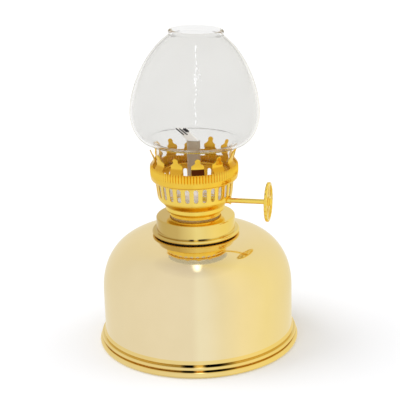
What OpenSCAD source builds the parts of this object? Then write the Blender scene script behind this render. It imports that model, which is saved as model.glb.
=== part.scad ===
// Table oil lamp: a domed sheet-metal font, a screw-in flat-wick burner with a
// pronged gallery, and a blown glass chimney. Millimetres, +Z up. The origin is on
// the lamp's axis at the underside of the foot, and the winder shaft runs along +X.

/* [Font] */
// Diameter over the rolled foot
foot_d = 100; // [99:0.5:104]
// Diameter of the font's straight wall
font_d = 94.2; // [92:0.2:94.6]
// Thickness of the font's sheet metal
font_wall = 0.8; // [0.6:0.1:1]
// Height where the wall starts to curve in to the shoulder
shoulder_z = 27.4; // [24:0.2:31]
// Height of the flat top of the shoulder
font_top_z = 56; // [53:0.5:59]

/* [Collar] */
// Diameter of the collar's drum
collar_d = 38.8; // [38:0.2:40]
// Diameter of the collar's out-turned lip
collar_lip_d = 43.2; // [42:0.2:46]
// Height of the collar above the shoulder
collar_h = 9.2; // [8.8:0.1:10]
// Diameter over the crests of the burner's thread
thread_d = 22.4; // [22:0.1:23]
// Rise of the burner for each turn
thread_pitch = 1.3; // [1.2:0.1:1.4]

/* [Burner] */
// Diameter of the burner flange that rests on the washer
flange_d = 25.4; // [25:0.1:26]
// Diameter of the bowl at its top
bowl_d = 39; // [38.6:0.1:39.4]
// Number of air slots round the bowl
slot_count = 28; // [20:1:30]
// Width of one air slot
slot_w = 2.1; // [1.6:0.1:2.2]
// Height of one air slot
slot_h = 6.9; // [6:0.1:7.4]

/* [Gallery] */
// Number of prongs that hold the chimney
prong_count = 12; // [8:1:12]
// Width of a prong
prong_w = 6.2; // [5:0.2:7]
// Outer diameter of the prongs' waist
waist_d = 38.3; // [38.1:0.1:38.6]

/* [Wick] */
// Width of the flat wick
wick_w = 5.6; // [5:0.1:5.8]
// Thickness of the wick
wick_t = 1.5; // [1.2:0.1:1.6]
// Height of the wick above the tube's mouth
wick_show = 8; // [2:0.5:10]
// Diameter over the teeth of the spur wheels
spur_d = 5.8; // [5.6:0.1:5.8]

/* [Winder] */
// Distance from the lamp's axis to the knob's middle
knob_reach = 37; // [34:0.5:40]
// Diameter of the knob
knob_d = 19.2; // [16:0.2:22]
// Number of openings in the knob
knob_openings = 6; // [4:1:8]

/* [Chimney] */
// Greatest diameter of the glass
chimney_d = 62.6; // [58:0.2:66]
// Outer diameter of the glass neck
neck_d = 36.8; // [36.4:0.1:36.9]
// Diameter over the rolled rim at the top
rim_d = 26.4; // [24:0.2:30]
// Height of the whole lamp
lamp_h = 156.6; // [153:0.2:161]
// Thickness of the glass
glass_t = 1.2; // [1:0.1:1.5]

/* [Hidden] */

$fn = 96;
cut = 1; // how far a cutting shape runs past the face it opens
pale_gold = "#EDD9A8";
burner_gold = "#E8B23C";
tin = "#C9C9C6";
seal_black = "#2B2320";
cotton = "#EFE9DC";

// Font and base
foot_r = foot_d / 2;
font_r = font_d / 2;
roll_r = 1.5; // radius of the rolled edge of the base plate
bead_r = 1.5; // radius of the bead above it
bead_inset = 2; // from the edge of the foot to the middle of the bead
bead_fillet = 0.8; // height of the flare between the bead and the wall
seam_z = 2 * roll_r; // the font stands on the base plate here
base_t = 0.7;
base_z = 1.6; // underside of the recessed base plate
base_slope = 0.8; // run of the slope round the recess
land_w = 1.4; // width of the flat ring that the lamp stands on
neck_r = 17.2; // outside of the font's upturned neck
neck_h = 5;
font_neck_top = font_top_z + neck_h;
shoulder_r = 20.4; // where the shoulder becomes flat
shoulder_bulge = 2.25; // exponent of the shoulder's curve

// Collar
seal_t = 0.5;
seal_inset = 1.8; // from the edge of the lip to the edge of the seal
seal_clear = 0.1; // round the font's neck
lip_t = 1.8;
collar_wall = 0.8;
collar_round = 0.9;
collar_low_z = font_top_z + seal_t;
collar_top_z = font_top_z + collar_h;
thread_clear = 0.3; // between the burner's thread and the collar's bore
bore_r = thread_d / 2 + thread_clear;
skirt_wall = 0.9;
skirt_lift = 1; // the threaded skirt ends this far above the collar's underside

// Heights of the burner, counted from the underside of its flange
washer_t = 0.5;
washer_inset = 0.4; // from the edge of the flange to the edge of the washer
washer_bore_r = thread_d / 2 + 0.1; // slips over the burner's thread
face_gap = 0.05;
flange_z = collar_top_z + washer_t + 2 * face_gap;
ferrule_low_z = flange_z - 7.4;
waist_low_z = flange_z + 1.2;
ring_z = flange_z + 3.6;
floor_z = flange_z + 3.9;
bowl_low_z = flange_z + 5;
cone_top_z = flange_z + 7.8;
shaft_z = flange_z + 8.5;
slot_low_z = flange_z + 10.7;
band_low_z = flange_z + 18.6;
bowl_top_z = flange_z + 20.3;
band_wide_z = flange_z + 22.5;
band_top_z = flange_z + 25.5;
waist_z = flange_z + 28;
shoulders_z = flange_z + 28.8;
tip_z = flange_z + 33.4;
tube_top_z = flange_z + 36.8;

// Burner widths and sheet thicknesses
thread_rings = 5;
thread_depth = 0.5;
thread_start = 0.8; // the first thread ring is this far above the ferrule's end
ferrule_wall = 0.8; // at the roots of the thread
flange_r = flange_d / 2;
flange_t = 0.7;
flange_in = 0.5; // from the edge of the flange to the waist above it
ring_r = 14.6;
ring_round = 1.6;
floor_r = 13.6;
floor_t = 0.6;
floor_ledge = 1.2; // ledge in the ferrule that carries the floor
bowl_t = 0.6;
cone_top_r = 17.4; // the bowl's sloping bottom ends here
bowl_corner_r = 3.2; // rounding between the sloping bottom and the wall
shelf_r = 17; // inner edge of the shelf that the glass stands on
shelf_t = 0.6;
crown_t = 0.45;
crown_clear = 0.1; // between the bowl and the band pushed over it
band_r = 21.05;
band_round = 1.2;
band_top_r = 20.9;
waist_r = waist_d / 2;
tip_r = 20.9;
prong_turn = 18; // angle of the first prong from the winder shaft
prong_root = 0.5; // height by which a prong and the band run into each other
prong_ball_r = 1.1;
prong_sweep = 26; // sector that one prong is cut from
slot_turn = 1.8; // angle of the first slot from the winder shaft

// Wick, tube and vent
tube_t = 0.3;
tube_side_gap = 0.2;
tube_face_gap = 0.25;
tube_w = wick_w + 2 * (tube_side_gap + tube_t);
tube_d = wick_t + 2 * (tube_face_gap + tube_t);
tube_low_z = flange_z - 9;
wick_low_z = 12;
vent_y = 6;
vent_r = 1;
vent_bore_r = 0.7;
vent_low_z = flange_z - 4;
vent_h = 12;

// Winder
shaft_r = 1.2;
shaft_y = -3.8;
shaft_past = 0.3; // the shaft's inner end stands out of the housing by this
stop_x = 12.6;
stop_t = 1.2;
stop_r = 1.9;
bush_x = 14.1;
bush_r = 1.55;
bush_bore_r = shaft_r + 0.05;
bush_flange_x = 18.25;
bush_flange_r = 1.95;
bush_flange_t = 0.5;
housing_half = 4.6;
housing_t = 0.4;
housing_r = 3.6;
spur_x = 1.6;
spur_t = 0.8;
spur_teeth = 12;
tooth_h = 0.7;
spur_clear = 0.3; // above and below the spur wheels in the tube's windows
knob_r = knob_d / 2;
knob_rim = 1.5;
knob_t = 0.9;
knob_rim_t = 1.5;
hub_r = 2.8;
eye_ring_r = (hub_r + knob_r - knob_rim) / 2;
eye_r = min(1.9, 0.7 * eye_ring_r * sin(180 / knob_openings));
scallops = 24;
scallop_r = 0.75;
scallop_depth = 0.4;
rivet_r = 1.9;
rivet_h = 1.3;
rivet_edge = 0.4; // straight part of the rivet head's side

// Chimney
chimney_r = chimney_d / 2;
seat_gap = 0.1; // between the shelf and the glass
chimney_low_z = bowl_top_z + shelf_t + seat_gap;
widest_z = 117;
bulb_low_z = 102.5;
neck_blend = 2.5; // radius of the rounding between the neck and the bulb
low_bulge_r = 2; // exponents of the bulb's curve below and above its widest point
low_bulge_z = 1.9;
high_bulge_r = 1.61;
high_bulge_z = 1.7;
high_end_r = 6.8; // radius that the upper curve would reach at the lamp's top
high_stop = 71; // the rim starts at this angle of the upper curve
rim_r = rim_d / 2;
rim_h = 1.9;
mouth_r = rim_r - 2;

// Points on an arc from angle a0 to a1, in the plane of a profile
function arc(centre_r, centre_z, radius, a0, a1, steps = 10) = [
    for (i = [0:steps])
        let (a = a0 + (a1 - a0) * i / steps)
        [centre_r + radius * cos(a), centre_z + radius * sin(a)]
];

// Points on a quarter of a superellipse, from its widest point towards its end
function swell(end_r, wide_r, wide_z, end_z, bulge_r, bulge_z, stop = 90, steps = 24) = [
    for (i = [0:steps])
        let (a = stop * i / steps)
        [
            end_r + (wide_r - end_r) * pow(max(cos(a), 0), 2 / bulge_r),
            wide_z + (end_z - wide_z) * pow(sin(a), 2 / bulge_z)
        ]
];

function reversed(points) = [for (i = [len(points) - 1:-1:0]) points[i]];

module turned(points) {
    rotate_extrude() polygon(points);
}

module ring(outer_r, inner_r, z, h) {
    translate([0, 0, z]) difference() {
        cylinder(r = outer_r, h = h);
        translate([0, 0, -cut]) cylinder(r = inner_r, h = h + 2 * cut);
    }
}

// Lays what is drawn along Z along the winder shaft instead, starting at x
module on_shaft(x) {
    translate([x, shaft_y, shaft_z]) rotate([0, 90, 0]) children();
}

module shaft_ring(x, length, outer_r, inner_r) {
    on_shaft(x) ring(outer_r, inner_r, 0, length);
}

// Flat-sided tube section with round ends
module strip(width, depth) {
    square([width - depth, depth], center = true);
    for (side = [-1, 1])
        translate([side * (width - depth) / 2, 0]) circle(d = depth, $fn = 32);
}

module font_shell() {
    inner_r = font_r - font_wall;
    inner_top = font_top_z - font_wall;
    neck_in = neck_r - font_wall;
    color(pale_gold) turned(concat(
        [[inner_r, seam_z], [foot_r - roll_r, seam_z]],
        arc(foot_r - bead_inset, seam_z + bead_r, bead_r, -50, 75),
        [[font_r, seam_z + 2 * bead_r + bead_fillet]],
        swell(shoulder_r, font_r, shoulder_z, font_top_z, shoulder_bulge, shoulder_bulge),
        [[neck_r, font_top_z], [neck_r, font_neck_top], [neck_in, font_neck_top]],
        [[neck_in, inner_top]],
        reversed(swell(shoulder_r, inner_r, shoulder_z, inner_top,
            shoulder_bulge, shoulder_bulge))
    ));
}

module base_plate() {
    roll_centre = foot_r - roll_r;
    inner_r = font_r - font_wall;
    color(pale_gold) turned(concat(
        [[0, base_z], [roll_centre - land_w - base_slope, base_z], [roll_centre - land_w, 0]],
        arc(roll_centre, roll_r, roll_r, -90, 90),
        [[inner_r, seam_z], [inner_r, base_z + base_t], [0, base_z + base_t]]
    ));
}

module collar() {
    drum_r = collar_d / 2;
    lip_r = collar_lip_d / 2;
    lip_round = lip_t / 2;
    inside_r = drum_r - collar_wall;
    skirt_r = bore_r + skirt_wall;
    color(pale_gold) turned(concat(
        [[inside_r, collar_low_z]],
        arc(lip_r - lip_round, collar_low_z + lip_round, lip_round, -90, 90),
        [[drum_r, collar_low_z + lip_t]],
        arc(drum_r - collar_round, collar_top_z - collar_round, collar_round, 0, 90, 6),
        [[bore_r, collar_top_z], [bore_r, collar_low_z + skirt_lift]],
        [[skirt_r, collar_low_z + skirt_lift], [skirt_r, collar_top_z - collar_wall]],
        [[inside_r, collar_top_z - collar_wall]]
    ));
}

module collar_seal() {
    color(seal_black)
        ring(collar_lip_d / 2 - seal_inset, neck_r + seal_clear, font_top_z, seal_t);
}

module burner_washer() {
    color(seal_black)
        ring(flange_r - washer_inset, washer_bore_r, collar_top_z + face_gap, washer_t);
}

// The corners of a thread ring are given by their share of the pitch and their radius
module burner_ferrule() {
    crest_r = thread_d / 2;
    root_r = crest_r - thread_depth;
    tube_r = root_r - ferrule_wall;
    thread_low_z = ferrule_low_z + thread_start;
    thread_corners = [[0, root_r], [0.45, crest_r], [0.9, root_r]];
    color(burner_gold) turned(concat(
        [[tube_r, ferrule_low_z], [root_r, ferrule_low_z]],
        [
            for (i = [0:thread_rings - 1], corner = thread_corners)
                [corner[1], thread_low_z + (i + corner[0]) * thread_pitch]
        ],
        [[root_r, flange_z], [flange_r, flange_z], [flange_r, flange_z + flange_t]],
        [[flange_r - flange_in, waist_low_z]],
        arc(ring_r - ring_round, ring_z, ring_round, -60, 0),
        [[ring_r, bowl_low_z], [floor_r, bowl_low_z], [floor_r, floor_z]],
        [[floor_r - floor_ledge, floor_z], [tube_r, waist_low_z]]
    ));
}

module burner_floor() {
    color(tin) difference() {
        translate([0, 0, floor_z]) cylinder(r = floor_r, h = floor_t);
        translate([0, 0, floor_z - cut]) {
            linear_extrude(floor_t + 2 * cut) strip(tube_w, tube_d);
            translate([0, vent_y, 0]) cylinder(r = vent_r, h = floor_t + 2 * cut);
        }
    }
}

// One side of the bowl above its sloping bottom, set in from the outside by depth
function bowl_side(depth) =
    let (
        centre_r = cone_top_r - bowl_corner_r * cos(45),
        centre_z = cone_top_z + bowl_corner_r * sin(45)
    )
    concat(
        arc(centre_r, centre_z, bowl_corner_r - depth, -45, -6, 8),
        [[bowl_d / 2 - depth, bowl_top_z]]
    );

// The slots start above the rounding, and the winder's bushing goes in lower down
module burner_bowl() {
    cone_low_r = cone_top_r - (cone_top_z - bowl_low_z);
    color(burner_gold) difference() {
        turned(concat(
            [[floor_r, bowl_low_z + bowl_t], [floor_r, bowl_low_z], [cone_low_r, bowl_low_z]],
            bowl_side(0),
            reversed(bowl_side(bowl_t)),
            [[cone_low_r - bowl_t * tan(22.5), bowl_low_z + bowl_t]]
        ));
        for (i = [0:slot_count - 1])
            rotate([90, 0, slot_turn + i * 360 / slot_count + 90])
                translate([0, slot_low_z, floor_r])
                    linear_extrude(bowl_d / 2 - floor_r + cut) air_slot();
        on_shaft(stop_x) cylinder(r = bush_r, h = bowl_d / 2 - stop_x + cut);
    }
}

module air_slot() {
    translate([-slot_w / 2, slot_w / 2]) square([slot_w, slot_h - slot_w]);
    for (z = [slot_w / 2, slot_h - slot_w / 2])
        translate([0, z]) circle(d = slot_w, $fn = 24);
}

// Section of the gallery's band, from its inner shelf round the turned-in edge
function band_section() =
    let (fit_r = bowl_d / 2 + crown_clear)
    concat(
        [[shelf_r, bowl_top_z + shelf_t], [shelf_r, bowl_top_z]],
        [[fit_r, bowl_top_z], [fit_r, band_low_z]],
        arc(band_r - band_round, band_low_z + band_round, band_round, -90, 0, 6),
        [[band_r, band_wide_z], [band_top_r, band_top_z]],
        [[band_top_r - crown_t, band_top_z], [band_r - crown_t, band_wide_z]],
        [[band_r - crown_t, bowl_top_z + shelf_t]]
    );

// Bent strip that the prongs are cut from: in to the waist and out to the tip
function prong_section() = [
    [band_top_r - crown_t, band_top_z - prong_root], [band_top_r, band_top_z - prong_root],
    [waist_r, waist_z], [tip_r, tip_z],
    [tip_r - crown_t, tip_z], [waist_r - crown_t, waist_z]
];

// Front view of one prong: a straight stem, sloping shoulders and a small round tip
module prong_outline() {
    half = prong_w / 2;
    ball_z = tip_z - prong_ball_r;
    polygon([
        [-half, band_top_z - cut], [half, band_top_z - cut],
        [half, shoulders_z], [prong_ball_r, ball_z],
        [-prong_ball_r, ball_z], [-half, shoulders_z]
    ]);
    translate([0, ball_z]) circle(r = prong_ball_r, $fn = 24);
}

module prong() {
    intersection() {
        rotate([0, 0, -prong_sweep / 2])
            rotate_extrude(angle = prong_sweep) polygon(prong_section());
        rotate([90, 0, 90]) linear_extrude(band_r + cut) prong_outline();
    }
}

module gallery_crown() {
    color(burner_gold) {
        turned(band_section());
        for (i = [0:prong_count - 1])
            rotate([0, 0, prong_turn + i * 360 / prong_count]) prong();
    }
}

module wick_tube() {
    window_h = spur_d + 2 * spur_clear;
    color(tin) difference() {
        translate([0, 0, tube_low_z])
            linear_extrude(tube_top_z - tube_low_z) strip(tube_w, tube_d);
        translate([0, 0, tube_low_z - cut])
            linear_extrude(tube_top_z - tube_low_z + 2 * cut)
                strip(tube_w - 2 * tube_t, tube_d - 2 * tube_t);
        for (side = [-1, 1])
            translate([side * spur_x - spur_t, -tube_d, shaft_z - window_h / 2])
                cube([2 * spur_t, tube_d, window_h]);
    }
}

// Barrel-shaped cover over the spur wheels, open towards the tube
module wheel_housing() {
    depth = -shaft_y - tube_d / 2;
    low_z = floor_z + floor_t;
    inner_half = housing_half - housing_t;
    inner_r = housing_r - housing_t;
    color(tin) difference() {
        union() {
            on_shaft(-housing_half) cylinder(r = housing_r, h = 2 * housing_half);
            translate([-housing_half, shaft_y, low_z])
                cube([2 * housing_half, depth, shaft_z + housing_r - low_z]);
        }
        on_shaft(-inner_half) cylinder(r = inner_r, h = 2 * inner_half);
        translate([-inner_half, shaft_y, shaft_z - inner_r])
            cube([2 * inner_half, depth + cut, 2 * inner_r]);
        on_shaft(-housing_half - cut) cylinder(r = bush_bore_r, h = 2 * (housing_half + cut));
        translate([-housing_half - cut, -tube_d / 2, shaft_z - housing_r])
            cube([2 * (housing_half + cut), housing_r, 2 * housing_r]);
    }
}

module vent_tube() {
    color(tin) translate([0, vent_y, 0]) ring(vent_r, vent_bore_r, vent_low_z, vent_h);
}

module shaft_bushing() {
    color(burner_gold) {
        shaft_ring(bush_x, bush_flange_x - bush_x, bush_r, bush_bore_r);
        shaft_ring(bush_flange_x, bush_flange_t, bush_flange_r, bush_bore_r);
    }
}

module winder_shaft() {
    left_end = -housing_half - shaft_past;
    color(burner_gold)
        on_shaft(left_end) cylinder(r = shaft_r, h = knob_reach + knob_rim_t / 2 - left_end);
}

module shaft_stop_ring() {
    color(tin) shaft_ring(stop_x, stop_t, stop_r, shaft_r);
}

module spur_wheel(x) {
    crest_r = spur_d / 2;
    root_r = crest_r - tooth_h;
    tooth = 360 / spur_teeth;
    color(tin) on_shaft(x - spur_t / 2) linear_extrude(spur_t) difference() {
        polygon([
            for (i = [0:spur_teeth - 1], half = [0, 1])
                let (r = half == 0 ? crest_r : root_r, a = (i + half / 2) * tooth)
                [r * cos(a), r * sin(a)]
        ]);
        circle(r = shaft_r);
    }
}

// Stamped openwork disc with a scalloped edge
module knob_wheel() {
    rim_x = knob_reach - knob_rim_t / 2;
    color(burner_gold) difference() {
        union() {
            on_shaft(knob_reach - knob_t / 2) cylinder(r = knob_r - knob_rim / 2, h = knob_t);
            shaft_ring(rim_x, knob_rim_t, knob_r, knob_r - knob_rim);
            shaft_ring(rim_x, knob_rim_t, hub_r, shaft_r);
        }
        on_shaft(rim_x - cut) {
            cylinder(r = shaft_r, h = knob_rim_t + 2 * cut);
            for (i = [0:knob_openings - 1])
                rotate([0, 0, i * 360 / knob_openings])
                    translate([eye_ring_r, 0, 0]) cylinder(r = eye_r, h = knob_rim_t + 2 * cut);
            for (i = [0:scallops - 1])
                rotate([0, 0, i * 360 / scallops])
                    translate([knob_r + scallop_r - scallop_depth, 0, 0])
                        cylinder(r = scallop_r, h = knob_rim_t + 2 * cut, $fn = 16);
        }
    }
}

module knob_rivet() {
    dome_h = rivet_h - rivet_edge;
    color(burner_gold) on_shaft(knob_reach + knob_rim_t / 2) turned(concat(
        [[0, 0], [rivet_r, 0], [rivet_r, rivet_edge]],
        [for (a = [15:15:90]) [rivet_r * cos(a), rivet_edge + dome_h * sin(a)]]
    ));
}

module wick() {
    color(cotton) translate([0, 0, wick_low_z])
        linear_extrude(tube_top_z + wick_show - wick_low_z) strip(wick_w, wick_t);
}

// Outline of the glass, set in from the outside by depth
function glass_side(depth) =
    let (wide_r = chimney_r - depth, blend_r = neck_d / 2 + neck_blend)
    concat(
        [[neck_d / 2 - depth, chimney_low_z]],
        arc(blend_r, bulb_low_z - neck_blend, neck_blend + depth, 180, 100, 6),
        reversed(swell(blend_r, wide_r, widest_z, bulb_low_z + depth,
            low_bulge_r, low_bulge_z, 90, 14)),
        swell(high_end_r, wide_r, widest_z, lamp_h - depth,
            high_bulge_r, high_bulge_z, high_stop, 20)
    );

module chimney() {
    rim_round = rim_h / 2;
    color("#DDE6E4", 0.35) turned(concat(
        glass_side(0),
        arc(rim_r - rim_round, lamp_h - rim_round, rim_round, -50, 90, 8),
        [[mouth_r, lamp_h], [mouth_r, lamp_h - rim_h]],
        reversed(glass_side(glass_t))
    ));
}

font_shell();
base_plate();
collar();
collar_seal();
burner_washer();
burner_ferrule();
burner_floor();
burner_bowl();
gallery_crown();
wick_tube();
wheel_housing();
vent_tube();
shaft_bushing();
winder_shaft();
shaft_stop_ring();
spur_wheel(-spur_x);  // spur_wheel_left
spur_wheel(spur_x);  // spur_wheel_right
knob_wheel();
knob_rivet();
wick();
chimney();
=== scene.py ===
"""Looks of a small table oil lamp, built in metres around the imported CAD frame."""

import math
import random

import bmesh
import bpy
import numpy as np
from mathutils import Matrix, Vector
from mathutils.geometry import delaunay_2d_cdt


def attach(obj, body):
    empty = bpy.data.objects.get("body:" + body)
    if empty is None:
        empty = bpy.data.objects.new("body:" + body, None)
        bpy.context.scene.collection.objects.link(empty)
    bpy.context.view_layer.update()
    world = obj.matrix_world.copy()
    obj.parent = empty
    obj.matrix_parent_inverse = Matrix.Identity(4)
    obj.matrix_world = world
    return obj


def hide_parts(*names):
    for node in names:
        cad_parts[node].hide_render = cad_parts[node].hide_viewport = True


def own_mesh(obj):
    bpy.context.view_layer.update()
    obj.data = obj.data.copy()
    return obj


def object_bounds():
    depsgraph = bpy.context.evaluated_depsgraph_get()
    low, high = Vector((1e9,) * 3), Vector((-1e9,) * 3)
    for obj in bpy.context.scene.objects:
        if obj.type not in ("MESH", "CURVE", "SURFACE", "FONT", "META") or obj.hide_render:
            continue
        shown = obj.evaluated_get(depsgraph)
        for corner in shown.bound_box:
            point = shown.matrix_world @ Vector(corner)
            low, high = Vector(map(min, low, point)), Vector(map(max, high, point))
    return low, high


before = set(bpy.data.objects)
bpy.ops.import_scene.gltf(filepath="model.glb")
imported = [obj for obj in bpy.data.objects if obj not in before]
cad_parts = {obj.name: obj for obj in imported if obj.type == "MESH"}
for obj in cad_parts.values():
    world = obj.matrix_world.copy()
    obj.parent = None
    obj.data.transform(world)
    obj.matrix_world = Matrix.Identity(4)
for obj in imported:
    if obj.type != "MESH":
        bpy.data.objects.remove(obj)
cad_low, cad_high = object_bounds()
scene = bpy.context.scene
MM = 0.001

# ---------------------------------------------------------------- camera and stage

# Angles in degrees, the lens in millimetres, the rest in metres.
CAMERA_AZIMUTH = 13.0
CAMERA_ELEVATION = 18.3
CAMERA_ROLL = -1.65
CAMERA_DISTANCE = 0.582
CAMERA_LENS = 106.6
AIM_HEIGHT = 0.0723
AIM_RIGHT = 0.0024
LIGHT_ELEVATION = 40
LIGHT_SPREAD = 55
TENT_R = 8


def direction(azimuth, elevation):
    """Unit vector from the lamp towards a place seen at this azimuth and elevation."""
    a, e = math.radians(azimuth), math.radians(elevation)
    return Vector((math.sin(a) * math.cos(e), -math.cos(a) * math.cos(e), math.sin(e)))


def add_camera():
    back = direction(CAMERA_AZIMUTH, CAMERA_ELEVATION)
    right = Vector((0, 0, 1)).cross(back).normalized()
    up = back.cross(right)
    roll = math.radians(CAMERA_ROLL)
    rolled_right = right * math.cos(roll) + up * math.sin(roll)
    rolled_up = up * math.cos(roll) - right * math.sin(roll)
    place = Vector((0, 0, AIM_HEIGHT)) + right * AIM_RIGHT + back * CAMERA_DISTANCE
    turn = Matrix((rolled_right, rolled_up, back)).transposed().to_4x4()
    data = bpy.data.cameras.new("camera")
    data.lens = CAMERA_LENS
    data.sensor_width = 36
    camera = bpy.data.objects.new("camera", data)
    camera.matrix_world = Matrix.Translation(place) @ turn
    scene.collection.objects.link(camera)
    scene.camera = camera


def soft_light(name, turn, strength):
    """A wide, distant light, turned this many degrees to the right of the camera. It is for
    the floor and the wick: reflections see the tent instead."""
    data = bpy.data.lights.new(name, "SUN")
    data.energy = strength
    data.angle = math.radians(LIGHT_SPREAD)
    light = bpy.data.objects.new(name, data)
    back = direction(CAMERA_AZIMUTH + turn, LIGHT_ELEVATION)
    light.rotation_euler = back.to_track_quat("Z", "Y").to_euler()
    light.visible_glossy = False
    light.visible_transmission = False
    scene.collection.objects.link(light)


def add_world():
    world = bpy.data.worlds.new("studio")
    scene.world = world
    world.use_nodes = True
    background = world.node_tree.nodes["Background"]
    background.inputs["Color"].default_value = (1, 1, 1, 1)
    background.inputs["Strength"].default_value = 0.73


def allow_long_paths():
    """Lets light that runs along inside the glass wall find its way out."""
    scene.cycles.glossy_bounces = 16
    scene.cycles.transmission_bounces = 24
    scene.cycles.max_bounces = 32


def add_floor():
    shape = bmesh.new()
    bmesh.ops.create_circle(shape, cap_ends=True, radius=6, segments=96)
    mesh = mesh_from(shape, "floor")
    floor = bpy.data.objects.new("floor", mesh)
    floor.visible_glossy = False
    scene.collection.objects.link(floor)
    material, _, surface = new_material("floor_paper")
    surface.inputs["Base Color"].default_value = (0.86, 0.865, 0.885, 1)
    surface.inputs["Roughness"].default_value = 0.7
    surface.inputs["Specular IOR Level"].default_value = 0.1
    mesh.materials.append(material)


def azimuth_stops(*stops):
    """Ramp stops given in degrees to the right of the camera."""
    return [((degrees + 180) / 360, color) for degrees, color in stops]


def elevation_stops(*stops):
    """Ramp stops given in degrees above the horizontal, for a ramp along a sphere's height."""
    return [((math.sin(math.radians(degrees)) + 1) / 2, color) for degrees, color in stops]


def camera_turn(tree, vector):
    """0 to 1 round the axis of coordinates that face the camera along -Y, 0.5 in front."""
    axes = separate(tree, vector)
    back = math_node(tree, "MULTIPLY", axes["Y"], -1.0)
    turn = math_node(tree, "ARCTAN2", axes["X"], back)
    return remap(tree, turn, 0, 1, -math.pi, math.pi)


def tent_material():
    """Grey-white light on the left, warm light on the right, and a narrow lamp overhead."""
    material, tree, surface = new_material("light_tent")
    coords = object_coords(tree)
    side = camera_turn(tree, coords)
    axes = separate(tree, coords)
    height = remap(tree, axes["Z"], 0, 1, -1, 1)
    black, white = (0, 0, 0), (1, 1, 1)
    lamp_half_w, lamp_power = 0.07, 2
    around_lamp = ramp(tree, side, azimuth_stops(
        (-180, (0.88, 0.83, 0.68)), (-110, (0.85, 0.83, 0.79)), (-60, (0.89, 0.875, 0.87)),
        (-8, (0.88, 0.87, 0.87)), (0, (0.93, 0.95, 0.96)), (10, (0.93, 0.94, 0.94)),
        (28, (0.92, 0.895, 0.78)), (54, (0.99, 0.93, 0.70)), (90, (0.97, 0.90, 0.57)),
        (180, (0.88, 0.83, 0.68)),
    ))
    upwards = ramp(tree, height, elevation_stops(
        (-80, (0.80, 0.77, 0.70)), (-50, (0.97, 0.95, 0.90)), (-28, white),
        (55, white), (80, (0.84, 0.83, 0.86)),
    ))
    from_middle = math_node(tree, "ABSOLUTE", axes["X"])
    lamp_width = ramp(tree, from_middle, [(0.0, white), (lamp_half_w, black)])
    lamp_height = ramp(tree, height, elevation_stops((72, black), (86, white)))
    light = mix_colors(tree, "MULTIPLY", around_lamp, upwards)
    lamp = mix_colors(tree, "MULTIPLY", lamp_width, lamp_height)
    for _ in range(lamp_power):
        light = mix_colors(tree, "ADD", light, lamp)
    feed(surface, "Emission Color", light)
    surface.inputs["Base Color"].default_value = (0, 0, 0, 1)
    surface.inputs["Specular IOR Level"].default_value = 0
    surface.inputs["Emission Strength"].default_value = 1.0
    material.cycles.emission_sampling = "NONE"
    return material


def add_light_tent():
    """The surroundings as polished metal and glass reflect them. Nothing else sees the tent."""
    shape = bmesh.new()
    bmesh.ops.create_uvsphere(shape, u_segments=64, v_segments=32, radius=1)
    mesh = mesh_from(shape, "light_tent")
    tent = bpy.data.objects.new("light_tent", mesh)
    tent.scale = (TENT_R, TENT_R, TENT_R)
    tent.rotation_euler = (0, 0, math.radians(CAMERA_AZIMUTH))
    for ray in ("camera", "diffuse", "transmission", "shadow"):
        setattr(tent, f"visible_{ray}", False)
    scene.collection.objects.link(tent)
    mesh.materials.append(tent_material())


# ---------------------------------------------------------------- material helpers


def new_material(name):
    material = bpy.data.materials.new(name)
    material.use_nodes = True
    tree = material.node_tree
    return material, tree, tree.nodes["Principled BSDF"]


def feed(node, name, socket):
    """Links a socket to the input of this name."""
    node.id_data.links.new(socket, node.inputs[name])


def object_coords(tree, scale=(1, 1, 1)):
    """Object coordinates, stretched: a small scale along an axis draws the pattern out."""
    coords = tree.nodes.new("ShaderNodeTexCoord")
    mapping = tree.nodes.new("ShaderNodeMapping")
    mapping.inputs["Scale"].default_value = scale
    feed(mapping, "Vector", coords.outputs["Object"])
    return mapping.outputs["Vector"]


def separate(tree, vector):
    """The X, Y and Z sockets of a vector."""
    node = tree.nodes.new("ShaderNodeSeparateXYZ")
    feed(node, "Vector", vector)
    return node.outputs


def noise(tree, vector, scale, detail=3.0, roughness=0.5):
    texture = tree.nodes.new("ShaderNodeTexNoise")
    texture.inputs["Scale"].default_value = scale
    texture.inputs["Detail"].default_value = detail
    texture.inputs["Roughness"].default_value = roughness
    feed(texture, "Vector", vector)
    return texture.outputs["Fac"]


def remap(tree, value, low, high, from_low=0.3, from_high=0.7):
    """Low to high as the value goes through its range, which is a noise's own if not given."""
    node = tree.nodes.new("ShaderNodeMapRange")
    node.inputs["From Min"].default_value = from_low
    node.inputs["From Max"].default_value = from_high
    node.inputs["To Min"].default_value = low
    node.inputs["To Max"].default_value = high
    feed(node, "Value", value)
    return node.outputs["Result"]


def ramp(tree, value, stops):
    """A colour ramp with (position, colour) stops in rising order."""
    node = tree.nodes.new("ShaderNodeValToRGB")
    elements = node.color_ramp.elements
    elements[0].position, elements[0].color = stops[0][0], (*stops[0][1], 1)
    elements[1].position, elements[1].color = stops[-1][0], (*stops[-1][1], 1)
    for position, color in stops[1:-1]:
        elements.new(position).color = (*color, 1)
    feed(node, "Fac", value)
    return node.outputs["Color"]


def two_tone(tree, value, dark, light):
    """Dark to light over the range of a noise."""
    return ramp(tree, value, [(0.3, dark), (0.7, light)])


def math_node(tree, operation, first, second=None):
    """A math node whose second input, if it has one, is another socket or a number."""
    node = tree.nodes.new("ShaderNodeMath")
    node.operation = operation
    tree.links.new(first, node.inputs[0])
    if isinstance(second, float):
        node.inputs[1].default_value = second
    elif second is not None:
        tree.links.new(second, node.inputs[1])
    return node.outputs["Value"]


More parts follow.
